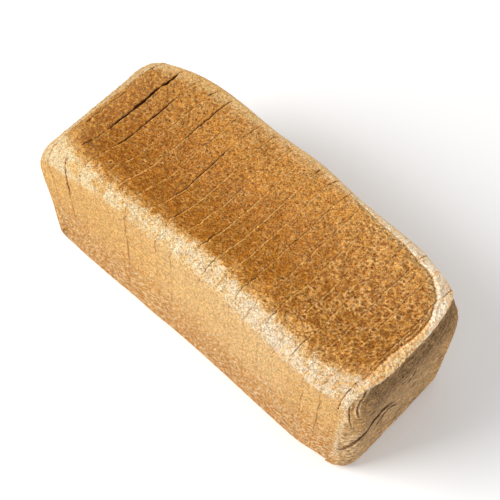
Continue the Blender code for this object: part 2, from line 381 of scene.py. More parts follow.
colour = tan_crust.copy()
for mask, crust_ in ((is_top, brown_crust), (in_band, cream_crust), (in_far, far_cream)):
    colour += (0.97 * mask)[..., None] * (crust_ - colour)

# relief, mm
scratch = band(0.5, 1.4, 20, along=1.0, round_=0.2)
top_relief = (0.12 * patch + 0.08 * clump + 0.07 * lump + 0.06 * grain + 0.03 * fine
              - 0.32 * np.clip(pores, -0.25, 1) + 0.12 * pale - 0.10 * bran
              + wrinkled * 0.45 * np.clip(ridge, 0, 1) ** 2 + 0.02 * scratch)
cream_relief = 0.05 * lump + 0.05 * grain + 0.03 * fine - 0.08 * np.clip(tan, 0, 1)
tan_relief = (low * (0.04 * lump + 0.05 * drawn + 0.03 * fine)
              + (1 - low) * (0.05 * clump + 0.03 * grain + 0.02 * fine))
relief = (0.30 * broad * (0.4 + 0.6 * is_top) + is_top * top_relief
          + (in_band + in_far) * cream_relief
          + (1 - np.clip(is_top + in_band + in_far, 0, 1)) * tan_relief)
# the far rim: a rolled edge that grows towards the right end, with a step inside,
# and painted dark shade along the step
rim_roll = rim_part * smooth(-0.5, 1.2, from_rim) * smooth(9.0, 3.0, from_rim)
relief += mix(0.5, 1.2, smooth(60, 112, U)) * rim_roll
far_step_shade = rim_part * np.exp(-((from_rim + 0.35) / 0.40) ** 2) * np.clip(
    0.75 + 0.25 * ragged, 0.2, 1.0) * mix(0.6, 1.0, smooth(70, 105, U))
relief -= 0.45 * far_step_shade
# painted shade: dark brown laid along the step inside the far rim
toward(colour, rgb(122, 84, 44), 0.85 * far_step_shade)
colour *= (1.0 + is_top * (0.035 * scratch + 0.03 * fine) + 0.02 * fine)[..., None]
# how strong the dark specks and the flour are
rough_map = np.stack([np.clip(0.6 + 0.4 * is_top + 0.4 * low - 0.1 * in_band, 0, 1.0),
                      np.clip(0.5 + 0.15 * is_top + 0.5 * low + 0.25 * in_band + 0.4 * in_far,
                              0, 1.0)], -1)

# the light that falls on the crust in the photo, by which way it faces: the
# colours above are as they show, and are divided by this
KEY_DIR = np.array([-0.50, -0.62, 0.62]) / math.sqrt(0.50 ** 2 + 2 * 0.62 ** 2)


def light(n):
    """Light on a surface with unit normals n, 1 for the floor in the open."""
    toward_key = n @ KEY_DIR
    side_on = -(0.63 * n[..., 0] + 0.78 * n[..., 1])
    sky = SKY * 0.5 * (1.0 + n[..., 2])
    floor_ = (FLOOR + FLOOR_SIDE * side_on) * 0.5 * (1.0 - n[..., 2])
    return sky + floor_ + KEY * np.clip((toward_key - 0.154) / 0.846, 0.0, 1.0)


SKY, FLOOR, FLOOR_SIDE, KEY = 0.675, 1.03, 0.35, 0.825


def gain(x, s, n):
    """What a shown colour is divided by, with the fall of light along the loaf."""
    a = x / 91.0
    top = smooth(104, 114, s)
    fall = np.stack([1.0 + a * mix(0.04, 0.09, top), 1.0 + a * mix(0.055, 0.12, top),
                     1.0 + a * mix(0.14, 0.20, top)], -1)
    level = light(n)
    unseen = smooth(212, 235, s) + smooth(-5, -20, s)
    level = mix(level, 0.95, np.clip(unseen, 0, 1))
    fall = mix(fall, 1.0, np.clip(unseen, 0, 1)[..., None])
    return fall / np.maximum(level, 0.5)[..., None]


# ---- the knife cuts ----------------------------------------------------------
# where the slices stand apart: cut -> (from s, to s, width) stretches
OPEN = {
    1: ((116, 142, 0.3),),
    2: ((150, 199, 1.45), (136, 162, 0.9), (112, 132, 0.35), (56, 104, 0.65), (28, 60, 0.3)),
    3: ((124, 190, 0.6), (108, 126, 0.3)),
    4: ((198, 216, 0.45), (48, 74, 0.2)),
    5: ((160, 216, 0.42), (68, 88, 0.2)),
    6: ((26, 108, 0.28),),
    7: ((132, 184, 0.5), (196, 210, 0.3)),
    8: ((83, 101, 0.3), (118, 130, 0.25)),
    9: ((80, 100, 0.3), (44, 56, 0.2)),
    10: ((112, 134, 0.4), (150, 165, 0.15)),
    11: ((102, 112, 0.25), (198, 208, 0.25)),
    12: ((103, 111, 0.2), (198, 210, 0.4)),
    13: ((106, 121, 0.35), (86, 96, 0.2)),
    14: ((96, 108, 0.25), (28, 44, 0.2)),
    15: ((104, 116, 0.35), (64, 74, 0.2)),
    16: ((80, 95, 0.3), (26, 36, 0.2)),
    17: ((100, 115, 0.35), (38, 52, 0.2)),
    18: ((22, 74, 0.25), (100, 108, 0.2)),
    19: ((28, 88, 0.2),),
    20: ((58, 102, 0.45), (140, 160, 0.15)),
}
# how dark the painted shade of the gaps along the cuts' lines is on the near side
NEAR_LINE_SHADE = {1: 0.9, 2: 0.8, 3: 0.15, 6: 0.6, 8: 0.25, 18: 0.25, 19: 0.3, 20: 0.3}
SL = np.arange(S0, S1, 0.25)


def line_noise(seed, length):
    """Noise along s with bumps about length mm long."""
    white = np.random.default_rng(seed).standard_normal(len(SL))
    f = np.fft.rfftfreq(len(SL), 0.25)
    out = np.fft.irfft(np.fft.rfft(white) * np.exp(-(f * length) ** 2 * 1.4), n=len(SL))
    return out / out.std()


GAP_LINE, SHIFT_LINE, LIP_LINE = {}, {}, {}
for k in range(1, CUTS + 1):
    wide = np.zeros(len(SL))
    tear = line_noise(500 + k, 6.0)
    for s0, s1, w in OPEN.get(k, ()):
        m = 0.5 * (s0 + s1)
        shape = smooth(s0 - 3, mix(s0, m, 0.5), SL) * smooth(s1 + 3, mix(s1, m, 0.5), SL)
        wide = np.maximum(wide, w * shape * np.clip(1.0 + 0.18 * tear, 0.4, 1.4))
    GAP_LINE[k] = 0.04 + wide * mix(0.75, 1.0, smooth(90, 112, SL))
    rag = smooth(40, 90, SL) * smooth(135, 112, SL)
    SHIFT_LINE[k] = ((0.09 + 0.20 * rag) * line_noise(600 + k, 3.0)
                     + 0.24 * line_noise(700 + k, 16.0))
    LIP_LINE[k] = (line_noise(800 + k, 5.0), line_noise(900 + k, 5.0))


def half_gap(k, s):
    return 0.5 * np.interp(s, SL, GAP_LINE[k])


def cut_shift(k, s):
    return np.interp(s, SL, SHIFT_LINE[k])


def lip(k, s, d, side_):
    """Height, paleness and darkness of a cut's torn edge, d mm from the cut: the pale is crumb, made stronger on the
    edge facing the key light as a painted highlight, and the dark is painted shade of the gap.
    """
    n = np.interp(s, SL, LIP_LINE[k][side_])
    top = smooth(106, 118, s) * smooth(214, 206, s)
    gap = np.interp(s, SL, GAP_LINE[k])
    closed = smooth(0.6, 0.3, gap)
    bump = np.exp(-((d - 0.4) / 0.5) ** 2)
    drop = np.exp(-(d / 0.28) ** 2)
    if side_:
        strength = np.clip(0.25 + 0.35 * n, 0.0, 0.8)
        # painted shadow of the gap: a dark line along the cut on the top
        dark = top * np.exp(-(d / 0.42) ** 2) * np.clip(0.45 + 0.4 * n, 0.0, 0.9)
    else:
        # the edge that faces the key light is paler: part crumb colour, part painted highlight
        strength = (np.clip(0.95 + 0.35 * n, 0.25, 1.25) * (0.55 + 0.45 * closed)
                    * (0.55 if k > 12 else 1.0))
        dark = 0.0 * d
    # painted shade of the gap along the cut's line on the near side
    beside = smooth(108, 98, s) * smooth(4, 14, s)
    dark = dark + (beside * np.exp(-(d / 0.55) ** 2) * NEAR_LINE_SHADE.get(k, 0.08)
                   * np.clip(0.75 + 0.5 * n, 0.0, 1.2))
    height = (bump * 0.22 * strength * (0.3 + 0.7 * top)
              - ((0.14 if side_ else 0.02) + 0.3 * smooth(0.1, 0.6, gap)) * drop)
    pale_ = np.exp(-(np.maximum(d - 0.25, 0.0) / 0.48) ** 2) * strength * (0.2 + 0.8 * top)
    return height, pale_ * (0.3 if side_ else 1.0), dark


# ---- meshes -------------------------------------------------------------------
def quads(cols, rows):
    """Faces of a grid closed round its rows; vertex number = col * rows + row."""
    c = np.arange(cols - 1)[:, None]
    r = np.arange(rows)[None, :]
    n = (r + 1) % rows
    return np.stack([c * rows + r, (c + 1) * rows + r, (c + 1) * rows + n,
                     c * rows + n], -1).reshape(-1, 4)


def cap_faces(outer, rings, start, flip):
    """Faces from the loop of vertices outer through inner rings; every ring
    has as many points as the last or half as many, and the last is closed by
    a fan round one point.  Flip is for the right side of a piece.  Returns
    arrays of quads and triangles."""
    q, t = [], []
    loop = outer
    at_ = start
    for n in rings:
        new = np.arange(at_, at_ + n)
        at_ += n
        m = len(loop)
        if n == m:
            nx = np.roll(np.arange(m), -1)
            q.append(np.stack([loop, new, new[nx], loop[nx]], -1))
        elif n == 1:
            nx = np.roll(np.arange(m), -1)
            t.append(np.stack([loop, np.full(m, new[0]), loop[nx]], -1))
        else:
            a, b, c = loop[0::2], loop[1::2], np.roll(loop[0::2], -1)
            d, e = new, np.roll(new, -1)
            t.append(np.stack([a, d, b], -1))
            t.append(np.stack([b, e, c], -1))
            t.append(np.stack([b, d, e], -1))
        loop = new
    q = np.concatenate(q) if q else np.zeros((0, 4), int)
    t = np.concatenate(t) if t else np.zeros((0, 3), int)
    return (q, t) if flip else (q[:, ::-1], t[:, ::-1])


def make_mesh(name, verts, quad, tri, mats, q_mat, t_mat, cols, rough, sharp):
    """Mesh object from arrays; sharp is a list of vertex loops to keep crisp."""
    me = bpy.data.meshes.new(name)
    nq, nt = len(quad), len(tri)
    me.vertices.add(len(verts))
    me.vertices.foreach_set("co", np.ascontiguousarray(verts, np.float32).ravel())
    corner = np.concatenate([quad.ravel(), tri.ravel()]).astype(np.int32)
    me.loops.add(len(corner))
    me.loops.foreach_set("vertex_index", corner)
    me.polygons.add(nq + nt)
    start = np.concatenate([np.arange(nq) * 4, nq * 4 + np.arange(nt) * 3])
    me.polygons.foreach_set("loop_start", start.astype(np.int32))
    me.polygons.foreach_set("material_index",
                            np.concatenate([q_mat, t_mat]).astype(np.int32))
    me.update(calc_edges=True)
    me.validate()
    for m in mats:
        me.materials.append(m)
    layer = me.color_attributes.new("tint", "FLOAT_COLOR", "POINT")
    rgba = np.ones((len(verts), 4), np.float32)
    rgba[:, :3] = cols
    layer.data.foreach_set("color", rgba.ravel())
    for c, key in enumerate(("grain", "flour")):
        lay2 = me.attributes.new(key, "FLOAT", "POINT")
        lay2.data.foreach_set("value", np.ascontiguousarray(rough[:, c], np.float32))
    me.shade_smooth()
    ev = np.empty(len(me.edges) * 2, np.int32)
    me.edges.foreach_get("vertices", ev)
    ev = ev.reshape(-1, 2)
    mark = np.zeros(len(verts), np.int32)
    for n, loop in enumerate(sharp, 1):
        mark[loop] = n
    flag = (mark[ev[:, 0]] > 0) & (mark[ev[:, 0]] == mark[ev[:, 1]])
    att = me.attributes.get("sharp_edge") or me.attributes.new("sharp_edge", "BOOLEAN", "EDGE")
    att.data.foreach_set("value", flag)
    ob = bpy.data.objects.new(name, me)
    bpy.context.scene.collection.objects.link(ob)
    return ob


def linear(c):
    c = np.clip(c, 0.0, 1.0)
    return np.where(c <= 0.04045, c / 12.92, ((c + 0.055) / 1.055) ** 2.4)


def columns(a, b, step):
    """Places from a to b, close together at each end where a cut is."""
    near = np.array([0.0, 0.18, 0.42, 0.75, 1.15, 1.6])
    n = max(2, int(round((b - a - 3.2) / step)))
    mid = np.linspace(a + 1.6, b - 1.6, n + 1)[1:-1]
    return np.concatenate([a + near, mid, (b - near)[::-1]])


CAP = (ROWS, ROWS // 2, ROWS // 2, ROWS // 4, ROWS // 4, ROWS // 8, 1)
CAP_F = (0.988, 0.96, 0.90, 0.78, 0.60, 0.30, 0.0)


def cap_points(k, sign, x0, y, z, s, i):
    """Inner points of the cut face of piece i at cut k."""
    out = []
    cy, cz = float(y.mean()), HEIGHT * 0.47
    for n, f in zip(CAP, CAP_F):
        pick = slice(None, None, ROWS // n) if n > 1 else slice(0, 1)
        yy = cy + (y[pick] - cy) * f
        zz = cz + (z[pick] - cz) * f
        deep = 1.0 - f
        gap = 0.15 + (half_gap(k, s[pick]) - 0.15) * smooth(0.75, 0.0, deep)
        x = cut_x(k) + cut_shift(k, s[pick]) * smooth(0.12, 0.0, deep) + sign * gap
        out.append(placed(x, yy, zz, i))
    return np.concatenate(out)


def base_strip(i, x, y, z, s, cuts):
    """The smooth surface: columns stretched so that the edges follow the cuts."""
    xx = x.copy()
    for side_, k in enumerate(cuts):
        if k:
            sign = 1.0 if side_ == 0 else -1.0
            fall = smooth(5.0, 0.0, np.abs(x - cut_x(k)))
            xx += (cut_shift(k, s) + sign * half_gap(k, s)) * fall
    base = placed(xx, y, z, i)
    du = np.gradient(base, axis=0)
    ds = np.roll(base, -1, 1) - np.roll(base, 1, 1)
    nrm = np.cross(du, ds)
    nrm /= np.linalg.norm(nrm, axis=-1, keepdims=True) + 1e-12
    return xx, base, nrm


def cut_edges(x, s, cuts, height, col):
    for side_, k in enumerate(cuts):
        if k:
            up, pale_, dark = lip(k, s, np.abs(x - cut_x(k)), side_)
            height = height + up
            # pale crumb at the torn edge, with a painted highlight on the edge facing the key light
            w = np.clip(0.9 * pale_, 0, 0.92)[..., None]
            col = col * (1 - w) + rgb(240, 182, 102) * w
            # painted shade of the gap beside the cut
            w = np.clip(dark, 0, 0.85)[..., None]
            lo_ = smooth(104, 112, s)[..., None]
            col = col * (1 - w) + (rgb(170, 108, 50) * (1 - lo_) + rgb(116, 66, 28) * lo_) * w
    return height, col


def raised(base, nrm, height, z):
    keep = smooth(0.0, 3.0, z)          # the base stays flat on its board
    pos = base + nrm * (height * (0.15 + 0.85 * keep) * MM)[..., None]
    pos[..., 2] = np.maximum(pos[..., 2], 0.0)
    return pos


def crust_strip(i, xs, cuts):
    """Crust of piece i at columns xs.  cuts = (cut at the left, at the right),
    0 for none.  Returns positions, colours, grain and the body coordinates."""
    y, z = section(xs)
    s = unrolled(y, z)
    x = np.repeat(xs[:, None], ROWS, 1)
    xx, base, nrm = base_strip(i, x, y, z, s, cuts)
    height, col = cut_edges(x, s, cuts, at(relief, x, s), at(colour, x, s))
    pos = raised(base, nrm, height, z)
    return pos, linear(col) * gain(x, s, nrm), at(rough_map, x, s), (xx, y, z, s)


crust = bpy.data.materials.new("crust")
crumb = bpy.data.materials.new("crumb")
pieces = []


def finish_piece(name, ob):
    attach(ob, "root")
    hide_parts(name)
    pieces.append(ob)


CRUMB = linear(rgb(226, 200, 160))
# brown of the crust at a cut face's edge, also the colour of the painted shade where slices stand apart
EDGE = linear(rgb(124, 78, 42))
CAP_PART = np.concatenate([np.full(n, f) for n, f in zip(CAP, CAP_F)])


def cap_colour(k, s):
    """Browned right at the crust, then crumb; painted shade darkens the cut face where the slices stand apart."""
    s_all = np.concatenate([s[:: ROWS // n] if n > 1 else s[:1] for n in CAP])
    # painted shade: the cut face darkens where the slices stand apart
    gap_shade = smooth(0.1, 0.5, 2.0 * half_gap(k, s_all))
    brown = np.where(CAP_PART > 0.95, 0.75 + 0.25 * gap_shade,
                     gap_shade * smooth(0.70, 0.93, CAP_PART))[:, None]
    return CRUMB * (1 - brown) + EDGE * brown



for i in range(1, CUTS):
    name = "slice_%02d" % i
    xs = columns(cut_x(i), cut_x(i + 1), 0.56)
    pos, col, gr, (xx, y, z, s) = crust_strip(i, xs, (i, i + 1))
    col = col * (1.0 + 0.015 * math.sin(2.9 * i))
    verts, cols, grs = [pos.reshape(-1, 3)], [col.reshape(-1, 3)], [gr.reshape(-1, 2)]
    nc = len(xs)
    total = nc * ROWS
    q_all, t_all, qm, tm = [quads(nc, ROWS)], [], [], []
    qm.append(np.zeros(len(q_all[0])))
    for c, k, sign in ((0, i, 1.0), (nc - 1, i + 1, -1.0)):
        outer = np.arange(c * ROWS, (c + 1) * ROWS)
        inner = cap_points(k, sign, xx[c], y[c], z[c], s[c], i)
        q, t = cap_faces(outer, CAP, total, c != 0)
        verts.append(inner)
        cols.append(cap_colour(k, s[c]))
        grs.append(np.full((len(inner), 2), 0.3))
        total += len(inner)
        q_all.append(q)
        t_all.append(t)
        qm.append(np.ones(len(q)))
        tm.append(np.ones(len(t)))
    ob = make_mesh(name + "_crust", np.concatenate(verts), np.concatenate(q_all),
                   np.concatenate(t_all), [crust, crumb], np.concatenate(qm),
                   np.concatenate(tm), np.concatenate(cols), np.concatenate(grs),
                   [np.arange(ROWS), np.arange((nc - 1) * ROWS, nc * ROWS)])
    finish_piece(name, ob)


# ---- the heels ------------------------------------------------------------------
def end_columns(x_end, x_cut, direction, radius, count):
    """Columns of a heel, from its cut to its end, even along the rounded top."""
    span = abs(x_cut - x_end)
    top_angle = math.acos(max(0.0, 1.0 - span / radius)) if span < radius else math.pi / 2
    ang = np.linspace(top_angle, 0.0, count + 1)
    depth = radius * (1.0 - np.cos(ang))
    if span > radius:
        raise ValueError("heel deeper than its rounding")
    return x_end - direction * depth


FACE = {0: [ROWS] * 26 + [ROWS // 2] * 26 + [ROWS // 4] * 20 + [ROWS // 8] * 8 + [1],
        CUTS: [ROWS] * 50 + [ROWS // 2] * 22 + [ROWS // 4] * 10 + [1]}


def end_face(x_end, direction, y, z, hollow, i):
    """Inner rings of an end face, drawn towards its hollow middle."""
    cy, cz = float(y.mean()), float(z.mean())
    fs = np.linspace(1.0, 0.0, len(FACE[i]) + 1)[1:]
    out, flat = [], []
    for n, f in zip(FACE[i], fs):
        pick = slice(None, None, ROWS // n) if n > 1 else slice(0, 1)
        yy = cy + (y[pick] - cy) * f
        zz = cz + (z[pick] - cz) * f
        depth = hollow * (1 - f ** 3)
        xx = np.full(len(yy), x_end) - direction * depth
        out.append(np.stack([xx, yy, zz], -1))
        flat.append(np.full(len(yy), f))
    return np.concatenate(out), np.concatenate(flat)


streak = band(2.0, 6.0, 41, along=5.0)       # fibres lying along the end
strand = band(0.9, 2.4, 42, along=5.0)


def curve(points, n=60):
    """Smooth line through the points, evenly read."""
    p = np.array(points, float)
    p = np.concatenate([[2 * p[0] - p[1]], p, [2 * p[-1] - p[-2]]])
    out = []
    for t_ in np.linspace(0, len(p) - 3 - 1e-9, n):
        j, f = int(t_), t_ - int(t_)
        a, b, c, d = p[j:j + 4]
        out.append(0.5 * (2 * b + (c - a) * f + (2 * a - 5 * b + 4 * c - d) * f ** 2
                          + (3 * b - a - 3 * c + d) * f ** 3))
    return np.array(out)


def near_line(p, line):
    """Distance of points from a line, the part of its length (0 to 1) where it
    is nearest, and how far above it the points are."""
    best = np.full(p.shape[:-1], 1e9)
    part, over = np.zeros_like(best), np.zeros_like(best)
    for j, (a, b) in enumerate(zip(line, line[1:])):
        ab = b - a
        t_ = np.clip((p - a) @ ab / (ab @ ab), 0.0, 1.0)
        q = a + t_[..., None] * ab
        d = np.linalg.norm(p - q, axis=-1)
        new = d < best
        best = np.where(new, d, best)
        part = np.where(new, (j + t_) / (len(line) - 1), part)
        over = np.where(new, p[..., 2] - q[..., 2], over)
    return best, part, over


# folds in the right end's crust: points in body coordinates, then the depth
# and width of the fold, which is also the width of the painted shade in its crease,
# how pale and raised the roll beside it is, and whether it is a ledge
FOLDS = (
    (((116.8, -49.5, 30), (118.4, -48.4, 31), (121.3, -46.8, 35), (124.7, -43.7, 44), (126.5, -40.0, 51),
      (126.9, -32.0, 52), (126.9, -24.0, 50), (126.9, -18.0, 48.5), (126.9, -12.0, 45.5),
      (126.9, -4.6, 39.5), (126.9, -1.0, 36)), 1.4, 0.42, 0.8, True),
    (((126.9, -22.5, 31), (126.9, -17.5, 34), (126.9, -13.5, 38.5), (126.9, -8.0, 37.5),
      (126.9, -3.0, 32.5), (126.9, 0.5, 28)), 0.9, 0.38, 0.5, True),
    (((117.2, -46.5, 95.5), (118.0, -48.3, 92.4), (119.1, -49.0, 88.6), (120.1, -49.0, 84.3),
      (120.4, -48.6, 79.5), (121.7, -47.3, 70.6), (123.0, -46.0, 65)), 0.8, 0.42, 0.5, False),
    (((118.6, -32.0, 98.6), (119.4, -36.8, 97.4), (120.1, -40.8, 95.7), (120.4, -43.4, 93.7),
      (121.4, -45.3, 90.1), (123.1, -45.4, 85.4), (124.4, -44.4, 80)), 0.9, 0.55, 1.0, False),
    (((126.9, 4.5, 50), (126.9, 6.5, 54), (126.9, 8.5, 60), (126.9, 9.5, 66)), 0.6, 0.35, 0.3, True),
)


def end_crust(p, right, folds=()):
    """Colour as shown and relief of the ends' fibrous crust at body points p; on the right end the colour holds
    painted shade under the rim and in the folds.
    """
    x, y, z = p[..., 0], p[..., 1], p[..., 2]
    off = (X_RIGHT - x) if right else (x - X_LEFT)
    far = y - off * smooth(-25, -45, y) + off * smooth(25, 45, y)
    sway = 2.4 * np.sin((y + 20.0) / 19.0) + 1.1 * np.sin(y / 7.3 + z / 15.0)
    lift = 0.0012 * (y + 10.0) ** 2
    st = at(streak, far * 0.9, z + 110.0 + sway - lift)
    fi = at(strand, far * 0.9 + 20.0, z + 120.0 + sway - lift)
    blot = at(clump, far, z + 100.0)
    dots = np.clip(at(tan, far * 1.0, z + 60.0), 0, 1)
    # on the right end, darker towards the top: painted shade under the rim
    col = tones(z + 3.0 * blot + 2.0 * st, (0, 172, 134, 88), (30, 163, 128, 85), (52, 155, 121, 80),
                (70, 138, 107, 70), (92, 131, 101, 66), (112, 138, 106, 69))
    if not right:
        col = tones(z + 5.0 * blot + 2.0 * st, (0, 206, 152, 88), (50, 216, 164, 98),
                    (90, 222, 172, 104), (112, 228, 180, 112))
    toward(col, rgb(178, 132, 76), 0.6 * smooth(24, 40, y) * smooth(96, 70, z) * right)
    toward(col, rgb(205, 178, 138), 0.30 * smooth(0.3, 1.6, 0.6 * st + 0.6 * fi) * smooth(110, 60, z))
    corner = smooth(-32, -45, y) * smooth(106, 94, z) * smooth(6, 26, z) * (1.0 if right else 0.0)
    white = 0.8 * smooth(-0.2, 1.5, 0.6 * st + 0.8 * fi) * smooth(72, 52, z) * smooth(14, 26, z)
    toward(col, mix(rgb(172, 136, 88), rgb(210, 184, 144), white[..., None]), 0.75 * corner)
    toward(col, rgb(188, 118, 52), 0.8 * dots * corner * smooth(50, 70, z))
    toward(col, rgb(92, 64, 38), (0.34 if right else 0.12) * smooth(0.7, 2.0, -st - 0.3 * fi)
           * (1 - 0.6 * corner))
    col *= (1.0 + 0.05 * fi + 0.03 * st + 0.04 * blot)[..., None]
    height = 0.11 * st + 0.08 * fi + 0.08 * blot
    if right:
        for line, depth, width, roll, ledge in folds:
            d, part, over = near_line(p, line)
            fade = smooth(0.0, 0.10, part) * smooth(1.0, 0.75, part)
            if ledge:
                # the crust below the crease stands out, and that above sinks in
                sd = np.where(over > 0, d, -d)
                step_ = mix(0.40 * np.exp(-(d / 2.2) ** 2), -0.70 * np.exp(-d / 3.0),
                            smooth(-0.4, 0.4, sd))
                height = height + depth * fade * step_
                toward(col, rgb(204, 174, 130), 0.6 * roll * fade * np.exp(-((sd + 1.7) / 0.9) ** 2))
                # painted shade in the crease
                toward(col, rgb(70, 42, 22), 0.92 * fade * np.exp(-((sd + 0.1) / width) ** 2))
                continue
            w = width * (0.6 + 0.4 * fade)
            groove = np.exp(-(d / w) ** 2) * fade
            lip_ = np.exp(-((d - 2.0 * w) / (1.2 * w)) ** 2) * fade * roll
            height = height - depth * groove + 0.7 * lip_
            toward(col, rgb(216, 190, 150), 0.7 * lip_)
            # painted shade in the groove
            toward(col, rgb(104, 68, 38), 0.75 * groove)
    return col, height


def mirrored(u):
    u = np.where(u > 129.0, 258.0 - u, u)
    return np.where(u < -133.0, -266.0 - u, u)


# where the browned top ends and the pale rim starts, and where the rim turns
# down into the end: (s round the section, x)
RIM_IN = {CUTS: ((96, 113), (106, 114.6), (112, 115), (120, 114.6), (130, 115.2), (140, 116.4),
                 (147, 117.4), (153, 117.6), (160, 117.2), (166, 116.0), (172, 113.6), (177, 110.5),
                 (183, 107), (191, 102), (205, 92)),
          0: ((100, -117), (112, -119.5), (125, -119.0), (140, -119.0), (155, -118.5), (165, -117.5),
              (172, -116.0), (180, -113.5), (192, -110), (205, -104))}
RIM_OUT = {CUTS: ((0, 118.5), (20, 118), (50, 118), (60, 118.3), (66, 118.6), (74, 119), (84, 118),
                  (90, 117.6), (98, 118), (106, 119.8), (115, 120.8), (123, 121.4), (146, 121.4),
                  (158, 121.4), (165, 121), (175, 119.6), (182, 118), (190, 115), (197, 112),
                  (205, 111), (216, 113), (240, 118), (300, 121)),
           0: ((0, -130.8), (100, -130.6), (150, -130.9), (200, -130.4), (300, -130.6))}


def laid(points, on):
    """The curve through the points, laid onto the nearest surface points."""
    line = curve(points)
    line = np.array([on[np.argmin(((on - q) ** 2).sum(1))] for q in line])
    pad = np.concatenate([line[:1]] * 4 + [line] + [line[-1:]] * 4)
    return np.array([pad[j:j + 9].mean(0) for j in range(len(line))])


def heel_strip(i, xs, cuts, x_end, direction, folds):
    y, z = section(xs)
    s_true = unrolled(y, z)
    c_cut = 0 if direction > 0 else len(xs) - 1
    x = np.repeat(xs[:, None], ROWS, 1)
    s = np.repeat(s_true[c_cut][None, :], len(xs), 0)
    step = np.sqrt(np.diff(x, axis=0) ** 2 + np.diff(y, axis=0) ** 2 + np.diff(z, axis=0) ** 2)
    e_ = np.concatenate([np.zeros((1, ROWS)), np.cumsum(step, 0)])
    e_ = e_ - e_[c_cut]                      # along the crust from the cut
    u = mirrored(xs[c_cut] + e_)

    def reach(table):
        """Distance outwards past a line given as (s, x)."""
        lx = np.interp(s[0], [q[0] for q in table], [q[1] for q in table])
        at_line = np.array([np.interp(lx[r], xs, e_[:, r]) for r in range(ROWS)])
        beyond = np.where(direction > 0, np.maximum(xs[0] - lx, 0), np.maximum(lx - xs[-1], 0))
        return direction * (e_ - at_line[None, :]) + beyond[None, :]

    n1 = at(edge_n, u, s)
    d_in = reach(RIM_IN[i]) + 0.2 * n1
    d_out = reach(RIM_OUT[i]) + 0.3 * n1
    tan_c, brown_c, cream_c = at(tan_crust, u, s), at(brown_crust, u, s), at(cream_crust, u, s)
    lo = at(np.repeat(band_lo, NS, 0), u * 0 + xs[c_cut], s)
    hi = at(np.repeat(band_hi, NS, 0), u * 0 + xs[c_cut], s)
    over_band = smooth(lo - 3.5, lo + 3.5, s + n1) * smooth(214, 208, s + n1)
    wide = 0.5 if i == CUTS else 2.2
    brown = smooth(hi - 4.0, hi + 4.5, s + 1.2 * n1) * smooth(wide, -wide, d_in) * smooth(210, 200, s)
    col = tan_c.copy()
    col += over_band[..., None] * (cream_c - col)
    col += (0.97 * brown)[..., None] * (brown_c - col)
    height = at(0.30 * broad * 0.6, u, s)
    height = (height + brown * at(top_relief, u, s)
              + over_band * (1 - brown) * at(cream_relief, u, s)
              + (1 - np.maximum(over_band, brown)) * at(tan_relief, u, s))

    # the rim: a step at its inner side with painted dark shade along it, and its torn outer lip with a painted shade
    # line under it
    on_top = smooth(104, 112, s) * smooth(212, 206, s)
    rim = on_top * smooth(-0.4, 1.0, d_in) * smooth(1.8, -1.6, d_out)
    if i == CUTS:
        height += 1.3 * rim + 0.25 * rim * at(lump * 0.5 + ragged * 0.4, u, s)
        toward(col, rgb(226, 184, 122), 0.6 * rim)
        toward(col, rgb(198, 128, 62), 0.8 * rim * np.clip(1.3 * at(tan, u, s), 0, 1))
        # painted shadow of the step at the rim's inner side
        rim_step_shade = on_top * np.exp(-((d_in + 0.45) / 0.45) ** 2) * (0.35 + 0.65 * smooth(150, 165, s))
        height -= 0.6 * rim_step_shade
        toward(col, rgb(128, 76, 34), 0.8 * rim_step_shade)
        toward(col, rgb(222, 158, 88), 0.55 * rim * smooth(2.6, 0.3, d_in) * smooth(176, 165, s))
        part = smooth(124, 132, s) * smooth(176, 168, s)
        off = d_in + 3.3 + 0.5 * np.sin(s / 4.1)
        height += part * (0.4 * np.exp(-((off - 0.7) / 0.5) ** 2) - 0.4 * np.exp(-(off / 0.35) ** 2))
        toward(col, rgb(240, 194, 126), 0.75 * part * np.exp(-((off - 0.8) / 0.5) ** 2))
        # painted shade: dark line under the torn lip
        toward(col, rgb(110, 64, 28), 0.7 * part * np.exp(-(off / 0.35) ** 2))
        # the far rim's pale crust runs on round the corner
        pale_far = np.maximum(at(in_far, u, s), 0.6 * rim * smooth(184, 204, s))
        col += (0.9 * pale_far)[..., None] * (at(far_cream, u, s) - col)
        # the crust below the shoulder turns paler and greyer into the corner
        toward(col, rgb(232, 208, 164), 0.6 * smooth(-6, -1, d_out) * smooth(100, 92, s) * smooth(0, 20, s))
    else:
        toward(col, rgb(232, 184, 114), 0.55 * smooth(1.5, 6.0, d_in) * over_band)
        toward(col, rgb(198, 128, 62), 0.6 * over_band * smooth(-1.0, 1.5, d_in) * np.clip(1.3 * at(tan, u, s), 0, 1))
        height += 0.2 * rim + 0.25 * rim * np.clip(at(ragged, u, s), 0, 2)
        flap = np.exp(-((x + 119.0) / 2.4) ** 2 - ((s - 8.0) / 6.5) ** 2)
        height += 1.9 * flap
        toward(col, rgb(168, 108, 50), 0.8 * flap)

    # the end's fibrous crust
    p = np.stack([x, y, z], -1)
    face_c, face_h = end_crust(p, i == CUTS, folds)
    soft = 1.0 if i == CUTS else 6.0
    face = smooth(-soft, soft * 0.5 + 0.5, d_out)
    height = mix(height, face_h, face)
    height -= on_top * 0.9 * smooth(0.5, 3.5, d_out) * smooth(12, 6, d_out) * (i == CUTS)

    xx, base, nrm = base_strip(i, x, y, z, s_true, cuts)
    flat = smooth(0.25, 0.0, np.abs(x - x_end))[..., None]
    nrm = nrm * (1 - flat) + np.array([direction, 0.0, 0.0]) * flat
    nrm /= np.linalg.norm(nrm, axis=-1, keepdims=True)
    height, col = cut_edges(x, s, cuts, height, col)
    lin = linear(col) * gain(x, s, nrm)
    lin = lin * (1 - face[..., None]) + (linear(face_c) / FACE_LIGHT[i]) * face[..., None]
    pos = raised(base, nrm, height, z)
    gr = at(rough_map, u, s) * (1 - face[..., None]) + np.array([0.6, 0.3]) * face[..., None]
    return pos, lin, gr, (xx, y, z, s_true)


